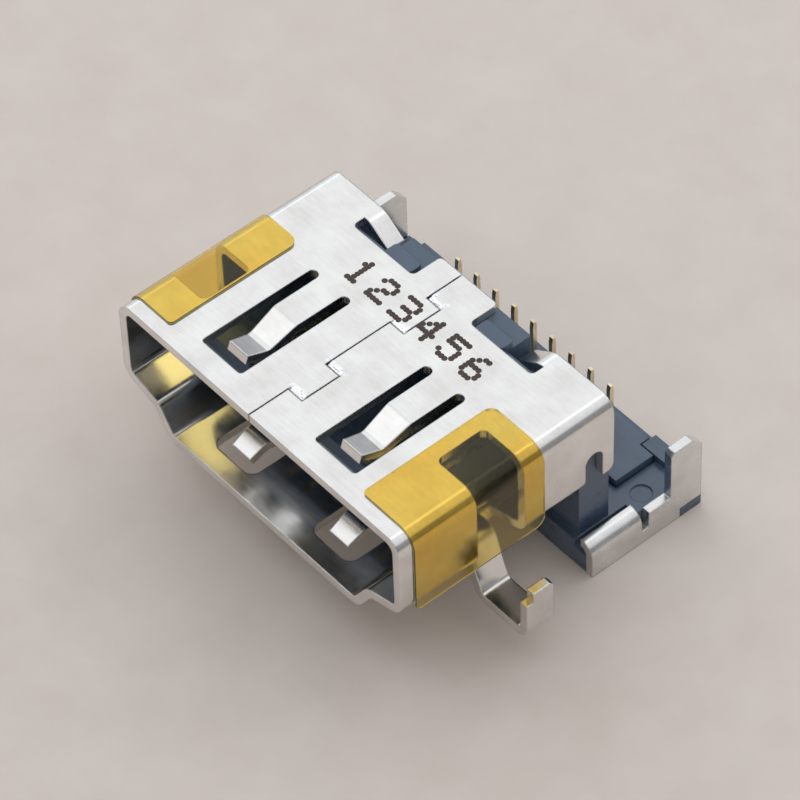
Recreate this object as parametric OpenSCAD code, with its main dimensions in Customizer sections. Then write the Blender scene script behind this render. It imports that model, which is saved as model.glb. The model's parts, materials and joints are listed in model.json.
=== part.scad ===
// Reverse through-hole socket of the 19-contact type, for the edge of a thin board.
// It lies with its contact tails and board legs pointing up, and its mouth faces -Y.
// The modules measure y from the mouth and z from the outside of the shell's floor.
// placed() then puts the origin on the board seat, midway between the two tail rows.

/* [Shell] */
// Inner width of the mouth
mouth_w = 14; // [13.8:0.05:14.2]
// Inner height of the mouth
mouth_h = 4.55; // [4.4:0.05:4.7]
// Thickness of the shell's sheet
sheet_t = 0.36; // [0.3:0.02:0.4]
// Depth of the shell from the mouth to its rear edge
shell_len = 9.5; // [9.3:0.05:9.7]
// Inner radius of the shell's bends
bend_r = 0.32; // [0.2:0.02:0.4]
// Half width of the flat floor, outside
floor_half = 5; // [4.8:0.05:5.2]
// Half width at the top of the sloping lower corner, outside
slope_half = 5.75; // [5.6:0.05:5.9]
// Height of the top of the sloping lower corner, outside
slope_z = 1.15; // [1.05:0.05:1.25]
// Height of the side wall's foot, outside
wall_foot_z = 1.65; // [1.55:0.05:1.8]

/* [Seam] */
// Sideways step of the seam to each side of the middle
seam_step = 0.36; // [0.25:0.01:0.5]
// Gap along the seam
seam_gap = 0.06; // [0.03:0.01:0.08]
// Length of each locking tongue in the seam
seam_tongue = 1.65; // [1.2:0.05:1.9]
// Distance from the mouth to the first locking tongue
seam_first = 1.75; // [1.4:0.05:2]
// Distance from the mouth to the second locking tongue
seam_second = 6.25; // [5.8:0.05:6.5]
// Length of the coined bevels behind the seam's steps
stake_len = 0.24; // [0.1:0.02:0.3]
// Depth of those bevels
stake_depth = 0.08; // [0.04:0.01:0.12]

/* [Springs] */
// Width of a spring finger at its root
finger_w = 1.22; // [1:0.02:1.3]
// Width of a spring finger at its tip
finger_tip_w = 0.96; // [0.8:0.02:1]
// Width of the slit on each side of a finger
slit_w = 0.44; // [0.3:0.02:0.5]
// Depth that a finger dips below the sheet's plane
finger_dip = 0.46; // [0.35:0.01:0.55]
// Height that a finger's tip rises again
tip_rise = 0.33; // [0.2:0.01:0.34]
// Radius of a finger's bends
finger_r = 0.4; // [0.3:0.05:0.5]

/* [Top springs] */
// Distance of each top spring from the middle
top_spring_x = 2.97; // [2.8:0.01:3.1]
// Distance from the mouth to the front of the top slots
top_slot_front = 0.95; // [0.8:0.05:1.1]
// Length of the top slots
top_slot_len = 4.95; // [4.6:0.05:5.1]
// Length of the flat root of a top finger
top_flat = 2.1; // [1.8:0.05:2.3]
// Length of a top finger's ramp
top_ramp = 1.18; // [1:0.02:1.3]
// Length of a top finger's tip
top_tip_len = 0.9; // [0.8:0.02:1]
// Corner radius of the top slots
top_corner_r = 0.14; // [0.08:0.01:0.2]

/* [Floor springs] */
// Distance of each floor spring from the middle
floor_spring_x = 2.6; // [2.4:0.05:2.8]
// Distance from the mouth to the front of the floor slots
floor_slot_front = 0.8; // [0.7:0.05:0.9]
// Length of the floor slots
floor_slot_len = 4.6; // [4.4:0.05:4.8]
// Length of the flat root of a floor finger
floor_flat = 1.9; // [1.7:0.05:2]
// Length of a floor finger's ramp
floor_ramp = 1.45; // [1.3:0.05:1.5]
// Length of a floor finger's tip
floor_tip_len = 0.68; // [0.6:0.02:0.8]
// Corner radius of the floor slots
floor_corner_r = 0.4; // [0.2:0.05:0.5]

/* [Windows and legs] */
// Half width at the inner edge of the corner windows
window_in = 5.36; // [5.2:0.02:5.5]
// Length of each corner window
window_len = 2.1; // [1.9:0.05:2.3]
// Corner radius of the windows in the shell's top
window_r = 0.25; // [0.1:0.05:0.3]
// Distance from the mouth to the right window
right_window = 3.35; // [3.1:0.05:3.6]
// Distance from the mouth to the left window
left_window = 2.15; // [1.9:0.05:2.4]
// Width of the front board legs
leg_w = 1.2; // [1:0.05:1.3]
// Distance that a leg's middle lies behind the window's
leg_behind = 0.1; // [0:0.02:0.15]
// Distance of the legs' outer faces from the middle
leg_reach = 9.22; // [9:0.02:9.4]
// Distance of a leg's shank from the middle, at its foot
leg_foot = 6.68; // [6.5:0.02:6.8]
// Bend radius of the legs, inside
leg_r = 0.22; // [0.15:0.01:0.25]
// Width of the step in front of a leg's tip
leg_step_w = 0.3; // [0.2:0.02:0.4]
// Depth of the step in front of a leg's tip
leg_step_h = 0.45; // [0.3:0.05:0.5]
// Bevel behind a leg's tip
leg_bevel = 0.16; // [0.1:0.02:0.25]

/* [Shell rear] */
// Length of the notches in the shell's rear edge
notch_len = 1.28; // [1.1:0.02:1.4]
// Half width of the tongue between the rear notches
rear_tongue_half = 1.47; // [1.3:0.01:1.6]
// Distance of the notches' outer ends from the middle
notch_out = 4.65; // [4.5:0.05:4.8]
// Corner radius of the notches and the tongue
notch_r = 0.19; // [0.1:0.01:0.2]
// Width of the locking tabs along the rear edge
tab_w = 0.74; // [0.6:0.02:0.8]
// Flat of a locking tab before its bend
tab_flat = 0.2; // [0.1:0.02:0.25]
// Distance of the locking tabs' tips from the middle
tab_tip = 3.42; // [3.35:0.01:3.5]
// Drop of the locking tabs' tips
tab_drop = 0.72; // [0.6:0.02:0.8]
// Bend radius of the locking tabs, inside
tab_r = 0.5; // [0.4:0.05:0.6]
// Width of the slot in each side wall's rear
hook_slot_w = 0.78; // [0.7:0.02:0.85]
// Height of the top of that slot
hook_slot_top = 3.24; // [3:0.02:3.5]
// Height of the hook's lower end
hook_end_z = 1.85; // [1.7:0.05:2]
// Radius of the hook's lower corner
hook_r = 0.3; // [0.2:0.02:0.35]

/* [Board and tails] */
// Drop from the shell's floor to the board seat
seat_drop = 0.8; // [0.7:0.05:0.9]
// Height of the tails and leg tips above the board seat
lead_len = 1.85; // [1.6:0.05:2]
// Distance from the mouth to the nearer row of tails
tail_row = 11; // [10.95:0.01:11.05]
// Distance between the rows of tails
tail_row_gap = 1.375; // [1.33:0.005:1.4]
// Sideways distance between neighbouring contacts
contact_pitch = 0.5; // [0.48:0.01:0.52]
// Width of a contact
contact_w = 0.18; // [0.15:0.01:0.24]
// Thickness of a contact's sheet
contact_t = 0.18; // [0.15:0.01:0.22]
// Bend radius of a contact, inside
contact_r = 0.12; // [0.1:0.01:0.15]
// Length of the tails' tapered points
tail_point = 0.25; // [0.15:0.01:0.3]
// Setback of the contacts from the tongue's front
contact_setback = 0.4; // [0.3:0.05:0.5]
// Depth of the upper contacts in the core's rear face
upper_set = 0.54; // [0.5:0.01:0.56]
// Depth of the lower contacts behind the core's front face
lower_set = 0.36; // [0.34:0.01:0.38]
// Height of the upper contacts' run above the base's underside
upper_rise = 0.7; // [0.68:0.01:0.72]
// Height of the lower contacts' run above the base's underside
lower_rise = 0.3; // [0.26:0.01:0.34]

/* [Housing] */
// Depth of the base block below the board seat
base_below = 1.5; // [1.4:0.05:1.6]
// Distance from the mouth to the base block's front
base_front = 8; // [7.9:0.05:8.1]
// Distance from the mouth to the base block's rear
base_rear = 13.1; // [13.05:0.05:13.3]
// Depth of the shoulders' tops below the board seat
shoulder_drop = 0.3; // [0.2:0.05:0.35]
// Thickness of the core that fills the shell's rear
core_len = 1.36; // [1.3:0.02:1.4]
// Half width of the contact tongue
tongue_half = 5.45; // [5.3:0.05:5.55]
// Thickness of the contact tongue
tongue_t = 1.25; // [1.15:0.05:1.35]
// Setback of the contact tongue from the mouth
tongue_setback = 2.2; // [2:0.05:2.4]
// Bevel of the contact tongue's front edges
tongue_bevel = 0.25; // [0.15:0.05:0.3]
// Gap between the shell's rear tongue and the lugs
lug_gap = 0.22; // [0.2:0.01:0.3]
// Width of the lugs in the rear notches
lug_w = 1.36; // [1.2:0.02:1.4]
// Length of the lugs
lug_len = 0.62; // [0.5:0.02:0.7]
// Depth of the lugs' tops below the shell's top
lug_drop = 0.08; // [0.04:0.01:0.12]
// Corner radius of the lugs
lug_r = 0.15; // [0.05:0.01:0.2]
// Thickness of the wall in front of the locking tabs
tab_wall_t = 0.28; // [0.22:0.01:0.3]
// Room for the locking tabs
tab_room = 0.15; // [0.1:0.01:0.2]
// Width of the posts at the base block's rear
post_w = 1.15; // [1:0.05:1.2]
// Radius of the moulding marks on the shoulders
mark_r = 0.4; // [0.3:0.02:0.45]
// Depth of the moulding marks
mark_depth = 0.06; // [0.03:0.01:0.1]
// Distance of the moulding marks from the base block's sides
mark_in = 0.57; // [0.5:0.01:0.65]
// Distance of the moulding marks in front of the ears
mark_setback = 0.52; // [0.4:0.02:0.6]
// Clearance between pieces that fit together
fit = 0.02; // [0.01:0.005:0.03]
// Clearance of the spacer in its pocket
pocket_fit = 0.05; // [0.03:0.01:0.08]

/* [Tail spacer] */
// Half width of the spacer
spacer_half = 6.2; // [6.1:0.02:6.3]
// Half width of the spacer's rear part, between the posts
spacer_rear_half = 5.52; // [5.4:0.02:5.6]
// Length of the spacer, front to rear
spacer_len = 2.2; // [2.15:0.01:2.25]
// Length of the spacer's rear part
spacer_rear_len = 0.45; // [0.4:0.01:0.5]
// Distance of the spacer's middle behind the middle of the tail rows
spacer_behind = 0.06; // [0:0.01:0.1]
// Thickness of the spacer
spacer_t = 0.45; // [0.4:0.01:0.5]

/* [Side brackets] */
// Distance of the brackets' outer faces beyond the shell's sides
bracket_out = 0.59; // [0.5:0.01:0.7]
// Thickness of the brackets' sheet
bracket_t = 0.35; // [0.3:0.01:0.37]
// Length of the rolled lip
lip_len = 2.3; // [2.1:0.05:2.35]
// Width of the rolled lip, over its bend
lip_w = 0.62; // [0.6:0.01:0.66]
// Bend radius of the rolled lip, inside
lip_r = 0.24; // [0.15:0.01:0.25]
// Room around and under the rolled lip
lip_room = 0.3; // [0.2:0.02:0.35]
// Length of the board ear
ear_len = 1.42; // [1.3:0.02:1.45]
// Height of the ear above the board seat
ear_h = 2.12; // [1.9:0.02:2.2]
// Bevel of the ear's rear corner
ear_bevel = 0.45; // [0.3:0.05:0.5]
// Bevel of the ear's front corner
ear_front_bevel = 0.15; // [0.1:0.01:0.2]
// Setback of the ear from the base block's rear
ear_setback = 0.05; // [0.03:0.01:0.1]
// Width of the notch behind the lip
bracket_notch_w = 0.32; // [0.25:0.01:0.4]
// Depth of that notch below the board seat
bracket_notch_h = 0.9; // [0.8:0.02:1]
// Drop of the plate's edge below the board seat, between notch and ear
bracket_drop = 0.16; // [0.1:0.01:0.25]
// Length of the housing's foot under the ear
foot_len = 0.98; // [0.9:0.02:1.1]
// Height of the housing's foot under the ear
foot_h = 0.44; // [0.4:0.02:0.5]
// Reach of the press-in barb
barb_in = 0.4; // [0.3:0.02:0.45]
// Length of the press-in barb
barb_len = 0.9; // [0.7:0.05:1]
// Thickness of the press-in barb
barb_t = 0.28; // [0.24:0.01:0.32]
// Distance of the barb from the bracket's front
barb_front = 0.7; // [0.5:0.05:0.9]
// Height of the barb above the bracket's lower edge
barb_rise = 0.35; // [0.25:0.05:0.4]

/* [Film strips] */
// Thickness of the film
film_t = 0.07; // [0.05:0.01:0.1]
// Thickness of its adhesive, left as a gap
film_lift = 0.01; // [0.01:0.005:0.02]
// Distance from the mouth to the strips' front ends
film_front = 0.6; // [0.4:0.05:0.8]
// Length of the strips
film_len = 5.7; // [5.5:0.05:5.9]
// Width of the right strip on the shell's top
right_film_w = 2.56; // [2.4:0.02:2.7]
// Width of the left strip on the shell's top
left_film_w = 2.12; // [2.1:0.02:2.3]
// Height of the strips' lower ends on the side walls
film_foot = 1.55; // [1.4:0.05:1.8]
// Radius of the strips' front corners
film_front_r = 0.18; // [0.1:0.02:0.3]
// Radius of the strips' rear corners
film_rear_r = 0.4; // [0.2:0.05:0.6]

/* [Hidden] */
$fn = 48;
contact_count = 19;
bend_step = 8;
far = 20;
over = 1;
outer_half = mouth_w / 2 + sheet_t;
outer_h = mouth_h + 2 * sheet_t;
seat_z = -seat_drop;
base_z = seat_z - base_below;
shoulder_z = seat_z - shoulder_drop;
lead_z = seat_z + lead_len;
rear_cut = shell_len - notch_len;
core_front = rear_cut + fit;
core_rear = core_front + core_len;
core_half = mouth_w / 2 - fit;
core_top = outer_h - sheet_t - fit;
tongue_z = sheet_t + mouth_h / 2 - tongue_t / 2;
seat_mid_y = tail_row + tail_row_gap / 2;

// Corner points of the shell's outside, from the middle of the floor to the middle of the top
floor_corner = [floor_half, 0];
slope_corner = [slope_half, slope_z];
shell_half = [
  [0, 0],
  floor_corner,
  slope_corner,
  [outer_half, wall_foot_z],
  [outer_half, outer_h],
  [0, outer_h]
];

// A front leg's underside and outer face, from the slope to the tip
slope_dir = dir(floor_corner, slope_corner);
leg_shelf_z = seat_z - sheet_t;
leg_bends = [
  slope_corner,
  [leg_foot, leg_shelf_z],
  [leg_reach, leg_shelf_z],
  [leg_reach, lead_z]
];
leg_root = slope_corner - slope_dir * trim_at(concat([floor_corner], leg_bends), leg_r, sheet_t, 1);

// Places of the spacer, the lugs, the brackets and the contacts
spacer_front = seat_mid_y + spacer_behind - spacer_len / 2;
spacer_rear = spacer_front + spacer_len;
lug_in = rear_tongue_half + lug_gap;
lug_out = lug_in + lug_w;
bracket_half = outer_half + bracket_out;
base_half = bracket_half - bracket_t - fit;
ear_rear = base_rear - ear_setback;
ear_front = ear_rear - ear_len;
lip_rear = base_front + lip_len;
foot_front = ear_rear - foot_len;
barb_y = base_front + barb_front;
barb_z = base_z + barb_rise;
contact_front = tongue_setback + contact_setback;

// Names, directions and bends
function contact_name(i) = str("contact_", i < 10 ? "0" : "", i);
function dir(a, b) = (b - a) / norm(b - a);
function left_of(d) = [-d.y, d.x];
function turn_at(p, i) =
  let (u = dir(p[i - 1], p[i]), v = dir(p[i], p[i + 1]))
  atan2(cross(u, v), u * v);
function trim_at(p, r, t, i) =
  (i == 0 || i == len(p) - 1) ? 0
  : let (a = turn_at(p, i)) (a > 0 ? r + t : r) * tan(abs(a) / 2);

function reversed(v) = [for (i = [len(v) - 1:-1:0]) v[i]];

// Centre of the bend at corner i, and the direction from there to the bend's start
function bend_out(p, i) = left_of(dir(p[i - 1], p[i])) * (turn_at(p, i) > 0 ? -1 : 1);
function bend_centre(p, r, t, i) =
  p[i] - dir(p[i - 1], p[i]) * trim_at(p, r, t, i) - bend_out(p, i) * (turn_at(p, i) > 0 ? r + t : r);
function turned(v, a) = [v.x * cos(a) - v.y * sin(a), v.x * sin(a) + v.y * cos(a)];

// One face of a folded sheet, at distance s from the line, with its bends in short steps.
// A right-angled bend keeps within the sheet, because bend() adds its true round.
function right_angle(p, i) = abs(abs(turn_at(p, i)) - 90) < 0.001;
function face_point(p, d, s) = p + left_of(d) * s;
function bend_points(p, r, t, s, i) =
  let (
    a = turn_at(p, i),
    steps = ceil(abs(a) / bend_step),
    face_r = a > 0 ? r + t - s : r + s,
    step_r = right_angle(p, i) ? (face_r + r + t / 2) / 2 : face_r
  )
  [for (k = [0:steps]) bend_centre(p, r, t, i)
    + (k == 0 || k == steps ? face_r : step_r) * turned(bend_out(p, i), a * k / steps)];
function side_line(p, r, t, s, grow) =
  let (last = len(p) - 1, d = dir(p[0], p[1]), e = dir(p[last - 1], p[last]))
  concat(
    [face_point(p[0] - d * grow, d, s)],
    [for (i = [1:last - 1]) each bend_points(p, r, t, s, i)],
    [face_point(p[last] + e * grow, e, s)]
  );

// Puts the origin on the board seat, midway between the rows of tails
module placed() translate([0, -seat_mid_y, seat_drop]) children();

// Extrudes an outline drawn in x and z from y0 to y1
module along_y(y0, y1) translate([0, y1, 0]) rotate([90, 0, 0]) linear_extrude(y1 - y0) children();

// Extrudes an outline drawn in y and z from x0 to x1
module along_x(x0, x1) translate([x0, 0, 0]) rotate([90, 0, 90]) linear_extrude(x1 - x0) children();

// Draws its children on the right, or mirrored on the left
module on_side(side) mirror([side < 0 ? 1 : 0, 0, 0]) children();

// Box from corner a to corner b
module box(a, b) translate(a) cube(b - a);

// Rectangle with round corners, from corner a to corner b
module round_rect(a, b, r) {
  translate([a.x + r, a.y]) square([b.x - a.x - 2 * r, b.y - a.y]);
  translate([a.x, a.y + r]) square([b.x - a.x, b.y - a.y - 2 * r]);
  for (x = [a.x + r, b.x - r], y = [a.y + r, b.y - r]) translate([x, y]) circle(r);
}

// What a round takes off the corner at the origin of the first quadrant
module corner_waste(r) {
  difference() {
    translate([-over, -over]) square(r + over);
    translate([r, r]) circle(r);
  }
}

// True round of a right-angled bend, at corner i of the line p
module bend(p, i, r, t, grow) {
  reach = 2 * (r + t + grow);
  translate(bend_centre(p, r, t, i)) intersection() {
    difference() {
      circle(r + t + grow);
      circle(r - grow);
    }
    polygon([[0, 0], for (k = [0:2]) reach * turned(bend_out(p, i), turn_at(p, i) * k / 2)]);
  }
}

// Section of a sheet folded along the line p, lying on the line's left, grown by a clearance
module sheet(p, r, t, grow = 0) {
  polygon(concat(side_line(p, r, t, -grow, grow), reversed(side_line(p, r, t, t + grow, grow))));
  for (i = [1:len(p) - 2]) if (right_angle(p, i)) bend(p, i, r, t, grow);
}

// Shell

// Opening around a spring finger: a window over the bent part, and slits beside the flat root
module spring_slot(front, length, flat, corner_r) {
  half = finger_w / 2 + slit_w;
  rear = front + length;
  bend_y = rear - flat;
  slit_r = slit_w / 2;
  round_rect([-half, front], [half, bend_y], corner_r);
  for (side = [-1, 1]) translate([side * (finger_w / 2 + slit_r), 0]) {
    translate([-slit_r, bend_y - corner_r - slit_w]) square([slit_w, flat + corner_r + slit_r]);
    translate([0, rear - slit_r]) circle(slit_r);
  }
}

// Bent part of a spring finger in the shell's top, narrower towards its tip
module spring_finger(bend_y, ramp, tip_len) {
  root_y = bend_y + finger_r;
  dip_y = bend_y - ramp;
  tip_y = dip_y - tip_len;
  half = finger_w / 2;
  tip_half = finger_tip_w / 2;
  intersection() {
    along_x(-half, half) sheet([
      [root_y, outer_h],
      [bend_y, outer_h],
      [dip_y, outer_h - finger_dip],
      [tip_y, outer_h - finger_dip + tip_rise]
    ], finger_r, sheet_t);
    linear_extrude(far) polygon([
      [-tip_half, 0],
      [tip_half, 0],
      [tip_half, tip_y],
      [half, bend_y],
      [half, root_y],
      [-half, root_y],
      [-half, bend_y],
      [-tip_half, tip_y]
    ]);
  }
}

// Draws its children at the top springs
module at_top() for (side = [-1, 1]) translate([side * top_spring_x, 0, 0]) children();

// Draws its children turned over, at the floor springs
module at_floor()
  for (side = [-1, 1]) translate([side * floor_spring_x, 0, outer_h]) mirror([0, 0, 1]) children();

// Cuts an outline drawn in x and y through the shell's top
module through_top() translate([0, 0, outer_h - 2 * sheet_t]) linear_extrude(3 * sheet_t) children();

// Places of the seam's steps, with an end beyond each edge of the shell
seam_stops = [
  -over,
  seam_first,
  seam_first + seam_tongue,
  seam_second,
  seam_second + seam_tongue,
  shell_len + over
];
seam_steps = len(seam_stops) - 2;

// Kerf where the two edges of the folded sheet meet, with two locking tongues
module seam() {
  half = seam_gap / 2;
  for (i = [0:seam_steps]) {
    x = i % 2 == 0 ? -seam_step : seam_step;
    run = seam_stops[i + 1] - seam_stops[i];
    translate([x - half, seam_stops[i] - half]) square([seam_gap, run + seam_gap]);
  }
  for (i = [1:seam_steps]) translate([-seam_step - half, seam_stops[i] - half])
    square([2 * seam_step + seam_gap, seam_gap]);
}

// Coined bevels behind the seam's steps
module stakes() {
  for (i = [1:seam_steps]) along_x(-seam_step, seam_step) polygon([
    [seam_stops[i], outer_h + over],
    [seam_stops[i], outer_h - stake_depth],
    [seam_stops[i] + stake_len, outer_h],
    [seam_stops[i] + stake_len, outer_h + over]
  ]);
}

// Rear edge of the top: a notch for the housing's lug, with round corners
module rear_notch() {
  round_rect([rear_tongue_half, rear_cut], [notch_out, shell_len + over], notch_r);
  translate([rear_tongue_half, shell_len]) rotate(180) corner_waste(notch_r);
}

// Hook at the rear of a side wall, flat to its lower end, behind a slot with a round top
module hook() {
  slot_r = hook_slot_w / 2;
  along_x(outer_half - sheet_t, outer_half) difference() {
    translate([rear_cut, hook_end_z]) square([notch_len, hook_slot_top + slot_r - hook_end_z]);
    translate([rear_cut, 0]) square([hook_slot_w, hook_slot_top - slot_r]);
    translate([rear_cut + slot_r, hook_slot_top - slot_r]) circle(slot_r);
    translate([shell_len, hook_end_z]) rotate(90) corner_waste(hook_r);
  }
}

// Window over a corner of the shell, from its top down to the root of the leg
module window_section() {
  across = left_of(slope_dir) * 2 * sheet_t;
  polygon([
    leg_root + across,
    leg_root - across,
    [far, (leg_root - across).y],
    [far, far],
    [window_in, far],
    [window_in, wall_foot_z + sheet_t]
  ]);
}

// Cut for a window, with round corners in the shell's top
module window(front) {
  rear = front + window_len;
  difference() {
    along_y(front, rear) window_section();
    through_top() {
      translate([window_in, front]) corner_waste(window_r);
      translate([window_in, rear]) rotate(-90) corner_waste(window_r);
    }
  }
}

// Front board leg: a strip of the window turned out and down, with a shelf and an upturned end
module front_leg(middle) {
  front = middle - leg_w / 2;
  rear = middle + leg_w / 2;
  difference() {
    along_y(front, rear) sheet(concat([leg_root - slope_dir * leg_r], leg_bends), leg_r, sheet_t);
    along_x(leg_reach - 2 * sheet_t, far) {
      translate([front - over, lead_z - leg_step_h]) square([leg_step_w + over, leg_step_h + over]);
      polygon([[rear, lead_z - leg_bevel], [rear, lead_z], [rear - leg_bevel, lead_z]]);
    }
  }
}

// Locking tab along the rear edge, bent down behind the lug
module lock_tab() {
  along_y(shell_len - tab_w, shell_len) sheet([
    [notch_out + tab_r, outer_h],
    [notch_out - tab_flat, outer_h],
    [tab_tip, outer_h - tab_drop]
  ], tab_r, sheet_t);
}

module shell() {
  windows = [[-1, left_window], [1, right_window]];
  top_bend = top_slot_front + top_slot_len - top_flat;
  floor_bend = floor_slot_front + floor_slot_len - floor_flat;
  color("silver") placed() {
    difference() {
      along_y(0, shell_len) for (side = [0, 1]) mirror([side, 0]) sheet(shell_half, bend_r, sheet_t);
      at_top() through_top() spring_slot(top_slot_front, top_slot_len, top_flat, top_corner_r);
      at_floor() through_top() spring_slot(floor_slot_front, floor_slot_len, floor_flat, floor_corner_r);
      through_top() seam();
      stakes();
      for (side = [-1, 1]) on_side(side) through_top() rear_notch();
      box([-far, rear_cut, -over], [far, far, hook_slot_top]);
      for (w = windows) on_side(w[0]) window(w[1]);
    }
    at_top() spring_finger(top_bend, top_ramp, top_tip_len);
    at_floor() spring_finger(floor_bend, floor_ramp, floor_tip_len);
    for (w = windows) on_side(w[0]) front_leg(w[1] + window_len / 2 + leg_behind);
    for (side = [-1, 1]) on_side(side) {
      lock_tab();
      hook();
    }
  }
}

// Contacts

// Line of contact i: along the tongue, down through the core, back through the base and up
function upper_row(i) = i % 2 == 1;
function contact_x(i) = (i - (contact_count + 1) / 2) * contact_pitch;
function tail_y(i) = tail_row + contact_t / 2 + (upper_row(i) ? 0 : tail_row_gap);
function tongue_run_z(i) = upper_row(i) ? tongue_z + tongue_t - contact_t : tongue_z;
function drop_y(i) = upper_row(i) ? core_rear - upper_set : core_front + lower_set;
function base_run_z(i) = base_z + (upper_row(i) ? upper_rise : lower_rise);
function contact_line(i) = [
  [contact_front, tongue_run_z(i)],
  [drop_y(i), tongue_run_z(i)],
  [drop_y(i), base_run_z(i)],
  [tail_y(i), base_run_z(i)],
  [tail_y(i), lead_z - tail_point]
];

module contact(i) {
  y = tail_y(i);
  z = lead_z - tail_point;
  taper = contact_t / 5;
  color("darkgoldenrod") placed() along_x(contact_x(i) - contact_w / 2, contact_x(i) + contact_w / 2) {
    sheet(contact_line(i), contact_r, contact_t);
    polygon([[y, z], [y - taper, lead_z], [y - contact_t + taper, lead_z], [y - contact_t, z]]);
  }
}

// Room for every contact: open grooves in the core's rear face for the upper row,
// and open channels in the base's top behind the core for both rows
module contact_channels() {
  half = contact_w / 2 + fit;
  for (i = [1:contact_count]) along_x(contact_x(i) - half, contact_x(i) + half) {
    sheet(contact_line(i), contact_r, contact_t, fit);
    translate([core_rear, base_run_z(i)]) square([tail_y(i) - contact_t - core_rear, far]);
    if (upper_row(i)) translate([drop_y(i) + contact_t, base_run_z(i) + contact_t])
      square([upper_set, tongue_run_z(i) - base_run_z(i) - contact_t]);
  }
}

// Housing

// Outline of the spacer, narrower between the posts
module spacer_outline(gap) {
  main_len = spacer_len - spacer_rear_len;
  translate([-spacer_half - gap, spacer_front - gap]) square([2 * (spacer_half + gap), main_len + 2 * gap]);
  translate([-spacer_rear_half - gap, spacer_front]) square([2 * (spacer_rear_half + gap), spacer_len + gap]);
}

// Tongue with bevelled front edges, rooted in the core
module contact_tongue() {
  top = tongue_z + tongue_t;
  root = core_front + fit;
  along_x(-tongue_half, tongue_half) polygon([
    [tongue_setback, tongue_z + tongue_bevel],
    [tongue_setback + tongue_bevel, tongue_z],
    [root, tongue_z],
    [root, top],
    [tongue_setback + tongue_bevel, top],
    [tongue_setback, top - tongue_bevel]
  ]);
}

// Core that fills the shell's rear and reaches down to the base, with its top edges bevelled
module core() {
  along_y(core_front, core_rear) polygon([
    [-core_half, base_z],
    [core_half, base_z],
    [core_half, core_top - bend_r],
    [core_half - bend_r, core_top],
    [bend_r - core_half, core_top],
    [-core_half, core_top - bend_r]
  ]);
}

// Solid features of one side: lug, post and the foot under the bracket's ear
module housing_side() {
  post_in = spacer_rear_half + pocket_fit;
  post_front = spacer_rear - spacer_rear_len + pocket_fit;
  translate([0, 0, tongue_z]) linear_extrude(outer_h - lug_drop - tongue_z)
    round_rect([lug_in, core_front], [lug_out, core_front + lug_len], lug_r);
  box([post_in, post_front, base_z], [post_in + post_w, base_rear, seat_z]);
  box([base_half - bracket_t, foot_front + fit, base_z], [bracket_half, ear_rear, base_z + foot_h - fit]);
}

// Cuts of one side: room for the locking tab, the lip and the barb, and a moulding mark
module housing_side_cuts() {
  tab_front = core_front + tab_wall_t;
  tab_z = outer_h - sheet_t - tab_drop;
  lip_in = bracket_half - lip_w - lip_room;
  box([lug_out, tab_front, tab_z - tab_room], [notch_out + tab_room, far, far]);
  box([lip_in, 0, seat_z - bracket_t - lip_room], [far, lip_rear + pocket_fit, core_top]);
  box([base_half - barb_in, barb_y - fit, barb_z - fit],
    [far, barb_y + barb_len + fit, barb_z + barb_t + fit]);
  translate([base_half - mark_in, ear_front - mark_setback, shoulder_z - mark_depth])
    cylinder(r = mark_r, h = over);
}

module housing() {
  color("#20242a") placed() difference() {
    union() {
      box([-base_half, base_front, base_z], [base_half, base_rear, shoulder_z]);
      core();
      contact_tongue();
      for (side = [-1, 1]) on_side(side) housing_side();
    }
    for (side = [-1, 1]) on_side(side) housing_side_cuts();
    translate([0, 0, seat_z - spacer_t - fit]) linear_extrude(far) spacer_outline(pocket_fit);
    contact_channels();
  }
}

module tail_spacer() {
  half = contact_w / 2 + fit;
  color("#2a2f36") placed() difference() {
    translate([0, 0, seat_z - spacer_t]) linear_extrude(spacer_t) spacer_outline(0);
    for (i = [1:contact_count]) box(
      [contact_x(i) - half, tail_y(i) - contact_t - fit, -far],
      [contact_x(i) + half, tail_y(i) + fit, far]
    );
  }
}

// Side brackets

// Outline of a bracket's plate in y and z, up to the lip's bend
module bracket_outline() {
  ear_z = seat_z + ear_h;
  lip_z = seat_z - bracket_t - lip_r;
  notch_rear = lip_rear + bracket_notch_w;
  polygon([
    [base_front, base_z],
    [foot_front, base_z],
    [foot_front, base_z + foot_h],
    [ear_rear, base_z + foot_h],
    [ear_rear, ear_z - ear_bevel],
    [ear_rear - ear_bevel, ear_z],
    [ear_front + ear_front_bevel, ear_z],
    [ear_front, ear_z - ear_front_bevel],
    [ear_front, seat_z - bracket_drop],
    [notch_rear, seat_z - bracket_drop],
    [notch_rear, seat_z - bracket_notch_h],
    [lip_rear, seat_z - bracket_notch_h],
    [lip_rear, lip_z],
    [base_front, lip_z]
  ]);
}

module bracket(side) {
  lip_start = seat_z - bracket_notch_h;
  color("silver") placed() on_side(side) {
    along_x(bracket_half - bracket_t, bracket_half) bracket_outline();
    along_y(base_front, lip_rear) sheet([
      [bracket_half, lip_start],
      [bracket_half, seat_z],
      [bracket_half - lip_w, seat_z]
    ], lip_r, bracket_t);
    box([base_half - barb_in + fit, barb_y, barb_z], [bracket_half, barb_y + barb_len, barb_z + barb_t]);
  }
}

// Film strips

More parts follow.
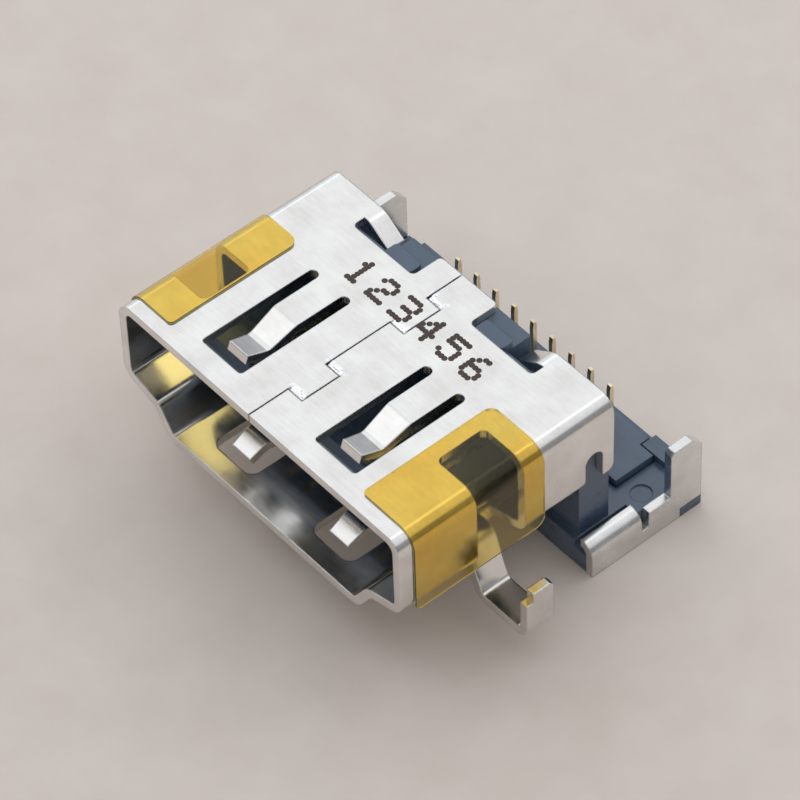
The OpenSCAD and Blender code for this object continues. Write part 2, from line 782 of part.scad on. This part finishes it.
// Film over a top corner of the shell, with round corners on the top and on the wall
module tape(side, width) {
  x = outer_half + film_lift;
  z = outer_h + film_lift;
  inner = outer_half - width;
  rear = film_front + film_len;
  color([0.85, 0.6, 0.1, 0.7]) placed() on_side(side) difference() {
    along_y(film_front, rear)
      sheet([[inner, z], [x, z], [x, film_foot]], bend_r + sheet_t + film_lift, film_t);
    through_top() {
      translate([inner, film_front]) corner_waste(film_front_r);
      translate([inner, rear]) rotate(-90) corner_waste(film_rear_r);
    }
    along_x(0, far) {
      translate([film_front, film_foot]) corner_waste(film_front_r);
      translate([rear, film_foot]) rotate(90) corner_waste(film_rear_r);
    }
  }
}

shell();
housing();
tail_spacer();
bracket(-1);  // bracket_left
bracket(1);  // bracket_right
tape(-1, left_film_w);  // tape_left
tape(1, right_film_w);  // tape_right
for (i = [1:contact_count]) contact(i);
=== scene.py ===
import bmesh
import bpy
import json
import math
from mathutils import Matrix, Vector


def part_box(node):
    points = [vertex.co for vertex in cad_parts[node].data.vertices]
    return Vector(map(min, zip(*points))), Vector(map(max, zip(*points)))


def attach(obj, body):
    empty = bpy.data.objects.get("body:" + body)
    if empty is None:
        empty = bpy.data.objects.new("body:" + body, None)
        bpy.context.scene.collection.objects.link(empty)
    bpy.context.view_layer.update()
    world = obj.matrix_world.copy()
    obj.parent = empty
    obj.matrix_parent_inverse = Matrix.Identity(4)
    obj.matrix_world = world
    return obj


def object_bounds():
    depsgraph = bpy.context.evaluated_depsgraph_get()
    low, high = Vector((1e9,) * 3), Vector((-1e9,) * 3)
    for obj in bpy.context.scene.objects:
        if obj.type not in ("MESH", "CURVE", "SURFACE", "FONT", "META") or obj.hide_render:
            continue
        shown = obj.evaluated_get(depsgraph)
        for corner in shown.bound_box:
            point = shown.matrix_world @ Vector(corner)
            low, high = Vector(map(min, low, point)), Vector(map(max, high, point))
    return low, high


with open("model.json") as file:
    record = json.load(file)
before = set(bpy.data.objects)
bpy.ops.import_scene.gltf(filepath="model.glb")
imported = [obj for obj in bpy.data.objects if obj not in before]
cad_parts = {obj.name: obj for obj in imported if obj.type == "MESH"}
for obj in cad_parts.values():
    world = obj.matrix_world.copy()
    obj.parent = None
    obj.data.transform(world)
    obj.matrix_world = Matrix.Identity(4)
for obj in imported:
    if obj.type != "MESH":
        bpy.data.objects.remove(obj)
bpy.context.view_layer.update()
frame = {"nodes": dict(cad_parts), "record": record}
nodes = frame["nodes"]
MM = 0.001


# Node helpers. Texture coordinates, depths and radii are in millimetres of the row frame.

def new_material(name, color, metallic, roughness, **sockets):
    m = bpy.data.materials.new(name)
    m.use_nodes = True
    nt = m.node_tree
    p = nt.nodes["Principled BSDF"]
    p.inputs["Base Color"].default_value = (*color, 1)
    p.inputs["Metallic"].default_value = metallic
    p.inputs["Roughness"].default_value = roughness
    for key, value in sockets.items():
        p.inputs[key.replace("_", " ")].default_value = value
    return m, nt, p


def coords(nt, stretch=(1, 1, 1)):
    tc = nt.nodes.new("ShaderNodeTexCoord")
    mp = nt.nodes.new("ShaderNodeMapping")
    mp.inputs["Scale"].default_value = [s / MM for s in stretch]
    nt.links.new(tc.outputs["Object"], mp.inputs["Vector"])
    return mp.outputs["Vector"]


def noise(nt, vector, scale, detail, rough=0.5):
    n = nt.nodes.new("ShaderNodeTexNoise")
    n.inputs["Scale"].default_value = scale
    n.inputs["Detail"].default_value = detail
    n.inputs["Roughness"].default_value = rough
    nt.links.new(vector, n.inputs["Vector"])
    return n.outputs["Fac"]


def calc(nt, operation, *values):
    m = nt.nodes.new("ShaderNodeMath")
    m.operation = operation
    for i, value in enumerate(values):
        if isinstance(value, (int, float)):
            m.inputs[i].default_value = value
        else:
            nt.links.new(value, m.inputs[i])
    return m.outputs["Value"]


def add(nt, a, b, weight):
    return calc(nt, "MULTIPLY_ADD", b, weight, a)


def spread(nt, value, low, high, start=0.35, end=0.65):
    """A value between start and end, taken to low and high."""
    r = nt.nodes.new("ShaderNodeMapRange")
    r.inputs["From Min"].default_value = start
    r.inputs["From Max"].default_value = end
    r.inputs["To Min"].default_value = low
    r.inputs["To Max"].default_value = high
    nt.links.new(value, r.inputs["Value"])
    return r.outputs["Result"]


def ramp(nt, value, *stops):
    r = nt.nodes.new("ShaderNodeValToRGB")
    e = r.color_ramp.elements
    while len(e) < len(stops):
        e.new(0.5)
    for i, (at, color) in enumerate(stops):
        e[i].position = at
        e[i].color = (*color, 1)
    nt.links.new(value, r.inputs["Fac"])
    return r.outputs["Color"]


def tint(nt, p, value, *stops):
    nt.links.new(ramp(nt, value, *stops), p.inputs["Base Color"])


def gloss(nt, p, value, low, high, start=0.35, end=0.65):
    nt.links.new(spread(nt, value, low, high, start, end), p.inputs["Roughness"])


EDGE_SAMPLES = 6


def bump(nt, p, height, strength, depth, edge_radius=0.0):
    """Fine relief, and edges that look rounded over the given radius."""
    b = nt.nodes.new("ShaderNodeBump")
    b.inputs["Strength"].default_value = strength
    b.inputs["Distance"].default_value = depth * MM
    nt.links.new(height, b.inputs["Height"])
    nt.links.new(b.outputs["Normal"], p.inputs["Normal"])
    if edge_radius:
        edge = nt.nodes.new("ShaderNodeBevel")
        edge.samples = EDGE_SAMPLES
        edge.inputs["Radius"].default_value = edge_radius * MM
        nt.links.new(edge.outputs["Normal"], b.inputs["Normal"])


# Materials

def plated(name, light, dark, rough_low, rough_high, stretch):
    """Rolled and plated sheet: faint streaks along the rolling direction, cloudy gloss, fine grain."""
    m, nt, p = new_material(name, light, 1.0, rough_low)
    clouds = noise(nt, coords(nt), scale=0.9, detail=4.0)
    streaks = noise(nt, coords(nt, stretch), scale=9.0, detail=3.0, rough=0.6)
    both = add(nt, clouds, streaks, 0.45)
    tint(nt, p, both, (0.5, dark), (0.95, light))
    gloss(nt, p, both, rough_low, rough_high, 0.55, 0.95)
    grain = noise(nt, coords(nt), scale=26.0, detail=2.0)
    bump(nt, p, add(nt, streaks, grain, 0.4), strength=0.12, depth=0.004, edge_radius=0.08)
    return m


def moulded(name, low, high):
    """Moulded dark plastic with a fine grain and faint flow marks."""
    rough_low = 0.24
    rough_high = 0.38
    m, nt, p = new_material(name, low, 0.0, rough_low, Specular_IOR_Level=0.8)
    flow = noise(nt, coords(nt, (0.35, 1, 1)), scale=1.4, detail=4.0)
    grain = noise(nt, coords(nt), scale=34.0, detail=2.0)
    tint(nt, p, flow, (0.35, low), (0.7, high))
    gloss(nt, p, add(nt, flow, grain, 0.4), rough_low, rough_high, 0.5, 0.9)
    bump(nt, p, grain, strength=0.22, depth=0.006, edge_radius=0.06)
    return m


def gold_plate():
    """Gold plate, a little worn along the contact."""
    m, nt, p = new_material("contact gold", (0.80, 0.68, 0.46), 1.0, 0.24)
    wear = noise(nt, coords(nt, (1, 1, 0.3)), scale=4.0, detail=4.0)
    tint(nt, p, wear, (0.35, (0.66, 0.54, 0.35)), (0.65, (0.84, 0.73, 0.50)))
    gloss(nt, p, wear, 0.32, 0.18)
    bump(nt, p, wear, strength=0.1, depth=0.004)
    return m


def clear_film():
    """Clear amber film with soft ripples."""
    m, nt, p = new_material("amber film", (0.98, 0.80, 0.31), 0.0, 0.10, Transmission_Weight=1.0, IOR=1.35)
    ripple = noise(nt, coords(nt, (1, 0.5, 1)), scale=0.6, detail=2.0)
    tint(nt, p, ripple, (0.3, (0.97, 0.77, 0.28)), (0.7, (0.99, 0.83, 0.34)))
    gloss(nt, p, ripple, 0.06, 0.14)
    bump(nt, p, ripple, strength=0.3, depth=0.02)
    return m


def printed_ink():
    m, nt, p = new_material("printed ink", (0.05, 0.03, 0.02), 0.0, 0.55)
    patch = noise(nt, coords(nt), scale=12.0, detail=3.0)
    tint(nt, p, patch, (0.3, (0.03, 0.018, 0.012)), (0.7, (0.10, 0.065, 0.045)))
    return m


def pale_floor():
    m, nt, p = new_material("floor", (0.83, 0.74, 0.67), 0.0, 0.9)
    fibre = noise(nt, coords(nt), scale=0.35, detail=5.0, rough=0.6)
    tint(nt, p, fibre, (0.3, (0.80, 0.71, 0.64)), (0.7, (0.86, 0.77, 0.70)))
    return m


# Painted highlight: the lightened metal colour inside the staked dents
DENT_HIGHLIGHT_COLOR = (0.90, 0.90, 0.91, 1)
DENT_DEPTH = 0.08
DENT_RAGGED = 0.12
FAR_AWAY = 9.0
MIX_COLOR_A = 6
MIX_COLOR_B = 7
MIX_COLOR_RESULT = 2


def staked_with_highlight(m, centres, half_x, half_y, low_z):
    """Rough dents on the seam, at the given places along Y and above a height, with their colour lightened
    as a painted highlight.
    """
    nt = m.node_tree
    p = nt.nodes["Principled BSDF"]
    at = nt.nodes.new("ShaderNodeSeparateXYZ")
    nt.links.new(coords(nt), at.inputs["Vector"])
    ragged = spread(nt, noise(nt, coords(nt), scale=4.0, detail=4.0), -DENT_RAGGED, DENT_RAGGED)
    y = calc(nt, "ADD", at.outputs["Y"], ragged)
    nearest = FAR_AWAY
    for centre in centres:
        gap = calc(nt, "ABSOLUTE", calc(nt, "SUBTRACT", y, centre))
        nearest = calc(nt, "MINIMUM", gap, nearest)
    x = calc(nt, "ADD", calc(nt, "ABSOLUTE", at.outputs["X"]), ragged)
    along = spread(nt, nearest, 1.0, 0.0, 0.7 * half_y, 1.1 * half_y)
    across = spread(nt, x, 1.0, 0.0, 0.8 * half_x, 1.1 * half_x)
    on_top = calc(nt, "GREATER_THAN", at.outputs["Z"], low_z)
    dent_and_highlight = calc(nt, "MULTIPLY", calc(nt, "MULTIPLY", along, across), on_top)

    # Painted highlight: the base colour is lightened inside the dents
    painted_highlight = nt.nodes.new("ShaderNodeMix")
    painted_highlight.data_type = "RGBA"
    nt.links.new(dent_and_highlight, painted_highlight.inputs["Factor"])
    nt.links.new(p.inputs["Base Color"].links[0].from_socket, painted_highlight.inputs[MIX_COLOR_A])
    painted_highlight.inputs[MIX_COLOR_B].default_value = DENT_HIGHLIGHT_COLOR
    nt.links.new(painted_highlight.outputs[MIX_COLOR_RESULT], p.inputs["Base Color"])

    crumple = nt.nodes.new("ShaderNodeBump")
    crumple.inputs["Distance"].default_value = DENT_DEPTH * MM
    nt.links.new(dent_and_highlight, crumple.inputs["Strength"])
    folds = noise(nt, coords(nt, (0.6, 1.4, 1)), scale=5.0, detail=2.0)
    nt.links.new(folds, crumple.inputs["Height"])
    nt.links.new(p.inputs["Normal"].links[0].from_socket, crumple.inputs["Normal"])
    nt.links.new(crumple.outputs["Normal"], p.inputs["Normal"])


slots = {
    "shell_metal": plated(
        "shell nickel", light=(0.86, 0.85, 0.83), dark=(0.72, 0.71, 0.68),
        rough_low=0.12, rough_high=0.24, stretch=(0.12, 1, 1),
    ),
    "bracket_metal": plated(
        "bracket tin", light=(0.82, 0.82, 0.81), dark=(0.66, 0.66, 0.65),
        rough_low=0.18, rough_high=0.32, stretch=(1, 0.2, 1),
    ),
    "housing_plastic": moulded("housing plastic", (0.058, 0.094, 0.148), (0.077, 0.121, 0.186)),
    "spacer_plastic": moulded("spacer plastic", (0.061, 0.099, 0.155), (0.081, 0.127, 0.195)),
    "contact_metal": gold_plate(),
    "film": clear_film(),
}
for sub in frame["record"]["subparts"]:
    mesh = nodes[sub["node"]].data
    mesh.materials.clear()
    mesh.materials.append(slots[sub["material_slot"]])


# Shading: corners joined, smooth over the stepped bends and sharp at real edges

SHARP_ANGLE = math.radians(22)
JOIN_DISTANCE = 0.001 * MM


def shading_group():
    g = bpy.data.node_groups.new("smooth bends", "GeometryNodeTree")
    g.interface.new_socket("Geometry", in_out="INPUT", socket_type="NodeSocketGeometry")
    g.interface.new_socket("Geometry", in_out="OUTPUT", socket_type="NodeSocketGeometry")
    start = g.nodes.new("NodeGroupInput")
    plain = g.nodes.new("GeometryNodeRemoveAttribute")
    plain.inputs["Name"].default_value = "custom_normal"
    join = g.nodes.new("GeometryNodeMergeByDistance")
    join.inputs["Distance"].default_value = JOIN_DISTANCE
    smooth = g.nodes.new("GeometryNodeSetShadeSmooth")
    smooth.domain = "FACE"
    angle = g.nodes.new("GeometryNodeInputMeshEdgeAngle")
    steep = g.nodes.new("FunctionNodeCompare")
    steep.operation = "GREATER_THAN"
    steep.inputs["B"].default_value = SHARP_ANGLE
    sharp = g.nodes.new("GeometryNodeSetShadeSmooth")
    sharp.domain = "EDGE"
    sharp.inputs["Shade Smooth"].default_value = False
    end = g.nodes.new("NodeGroupOutput")
    g.links.new(start.outputs["Geometry"], plain.inputs["Geometry"])
    g.links.new(plain.outputs["Geometry"], join.inputs["Geometry"])
    g.links.new(join.outputs["Geometry"], smooth.inputs["Geometry"])
    g.links.new(angle.outputs["Unsigned Angle"], steep.inputs["A"])
    g.links.new(steep.outputs["Result"], sharp.inputs["Selection"])
    g.links.new(smooth.outputs["Geometry"], sharp.inputs["Geometry"])
    g.links.new(sharp.outputs["Geometry"], end.inputs["Geometry"])
    return g


group = shading_group()
for o in nodes.values():
    o.modifiers.new("shading", "NODES").node_group = group


# Row of plain digits in dots on the shell's top, read along X

DIGITS = {
    "1": ("00100", "01100", "00100", "00100", "00100", "00100", "01110"),
    "2": ("01110", "10001", "00001", "00110", "01000", "10000", "11111"),
    "3": ("11110", "00001", "00001", "01110", "00001", "00001", "11110"),
    "4": ("00010", "00110", "01010", "10010", "11111", "00010", "00010"),
    "5": ("11111", "10000", "11110", "00001", "00001", "10001", "01110"),
    "6": ("00110", "01000", "10000", "11110", "10001", "10001", "01110"),
}
DOT_SIDES = 14
LAYERS = 5
LAYER_STEP = 0.0008


def dots(text, x, y, z, pitch, step, radius):
    corners = [math.tau * k / DOT_SIDES for k in range(DOT_SIDES)]
    outline = [radius * Vector((math.cos(a), math.sin(a), 0)) for a in corners]
    bm = bmesh.new()
    for n, letter in enumerate(text):
        for row, line in enumerate(DIGITS[letter]):
            for col, on in enumerate(line):
                if on == "1":
                    # Neighbouring dots lie at slightly different heights, so that none share a plane
                    lift = LAYER_STEP * ((col + 2 * row) % LAYERS)
                    at = Vector((x + n * step + col * pitch, y - row * pitch, z + lift))
                    bm.faces.new([bm.verts.new((at + corner) * MM) for corner in outline])
    mesh = bpy.data.meshes.new("digits")
    bm.to_mesh(mesh)
    bm.free()
    o = bpy.data.objects.new("digits", mesh)
    bpy.context.scene.collection.objects.link(o)
    mesh.materials.append(printed_ink())
    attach(o, "root")


# Places on the shell's top in millimetres; the seam's steps are measured from the mouth
shell_low, shell_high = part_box("shell")
top_z = shell_high[2] / MM
rear_y = shell_high[1] / MM
mouth_y = shell_low[1] / MM
seam_steps = (1.75, 3.40, 6.25, 7.90)
dent_shift = 0.12
dents = [mouth_y + step + dent_shift for step in seam_steps]
# Staked dents on the seam; the lightened colour in them is a painted highlight
staked_with_highlight(slots["shell_metal"], dents, half_x=0.42, half_y=0.16, low_z=top_z - 0.15)
dots("123456", x=-3.11, y=rear_y - 2.0, z=top_z + 0.004, pitch=0.163, step=1.186, radius=0.112)


# Floor, just below the base's underside so that no two faces share a plane

FLOOR_SIZE = 3
FLOOR_GAP = 0.01 * MM
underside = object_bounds()[0][2]
bpy.ops.mesh.primitive_plane_add(size=FLOOR_SIZE, location=(0, 0, underside - FLOOR_GAP))
floor = bpy.context.object
floor.name = "floor"
floor.data.materials.append(pale_floor())


# World: brighter on the side the light comes from

LIGHT_SIDE = (-0.62, 0.47, 0.63)
world = bpy.data.worlds.new("studio")
bpy.context.scene.world = world
world.use_nodes = True
sky_nodes = world.node_tree
sky = sky_nodes.nodes["Background"]
sky.inputs["Strength"].default_value = 1.0
tc = sky_nodes.nodes.new("ShaderNodeTexCoord")
toward = sky_nodes.nodes.new("ShaderNodeVectorMath")
toward.operation = "DOT_PRODUCT"
toward.inputs[1].default_value = LIGHT_SIDE
sky_nodes.links.new(tc.outputs["Generated"], toward.inputs[0])
sky_color = ramp(
    sky_nodes,
    spread(sky_nodes, toward.outputs["Value"], 0.0, 1.0, -1.0, 1.0),
    (0.0, (0.18, 0.18, 0.18)),
    (0.5, (0.30, 0.30, 0.31)),
    (0.8, (0.40, 0.42, 0.45)),
    (1.0, (0.44, 0.46, 0.49)),
)
sky_nodes.links.new(sky_color, sky.inputs["Color"])


# Lamps: direction from the object, distance and size in metres, brightness and colour

MIDDLE = Vector((0, -0.006, 0.002))


def softbox(name, toward, distance, size, radiance, color=(1, 1, 1)):
    data = bpy.data.lights.new(name, "AREA")
    data.shape = "RECTANGLE"
    data.size, data.size_y = size
    data.energy = radiance * math.pi * size[0] * size[1]
    data.color = color
    o = bpy.data.objects.new(name, data)
    bpy.context.scene.collection.objects.link(o)
    away = Vector(toward).normalized()
    o.location = away * distance + MIDDLE
    o.rotation_euler = (-away).to_track_quat("-Z", "Y").to_euler()


softbox("key", (-0.50, 0.12, 0.83), 0.60, (0.86, 0.86), 0.58)
softbox("front", (-0.51, -0.24, 0.83), 0.60, (0.30, 0.30), 0.20)
softbox("over", (0.42, 0.40, 0.81), 0.50, (0.40, 0.40), 0.48)
softbox("back", (0.08, 0.82, 0.56), 0.60, (0.52, 0.46), 0.48)
softbox("side", (-0.90, 0.36, 0.20), 0.60, (0.50, 0.40), 0.50, (0.82, 0.92, 1.0))
softbox("fill", (0.35, -0.55, 0.76), 0.40, (0.24, 0.24), 0.5, (1.0, 0.97, 0.93))


# Camera, fitted to the photo: its axes and its place in metres

right = Vector((0.651516, 0.758168, -0.026625))
up = Vector((-0.559237, 0.503691, 0.658444))
back = Vector((0.512622, -0.414097, 0.752158))
place = Vector((0.0914057, -0.0792815, 0.1364662))
cam_data = bpy.data.cameras.new("camera")
cam_data.lens = 233.1
cam_data.sensor_width = 36
cam_data.clip_start = 0.01
cam = bpy.data.objects.new("camera", cam_data)
bpy.context.scene.collection.objects.link(cam)
cam.matrix_world = Matrix((
    (right.x, up.x, back.x, place.x),
    (right.y, up.y, back.y, place.y),
    (right.z, up.z, back.z, place.z),
    (0, 0, 0, 1),
))
bpy.context.scene.camera = cam
bpy.context.scene.view_settings.view_transform = "Standard"
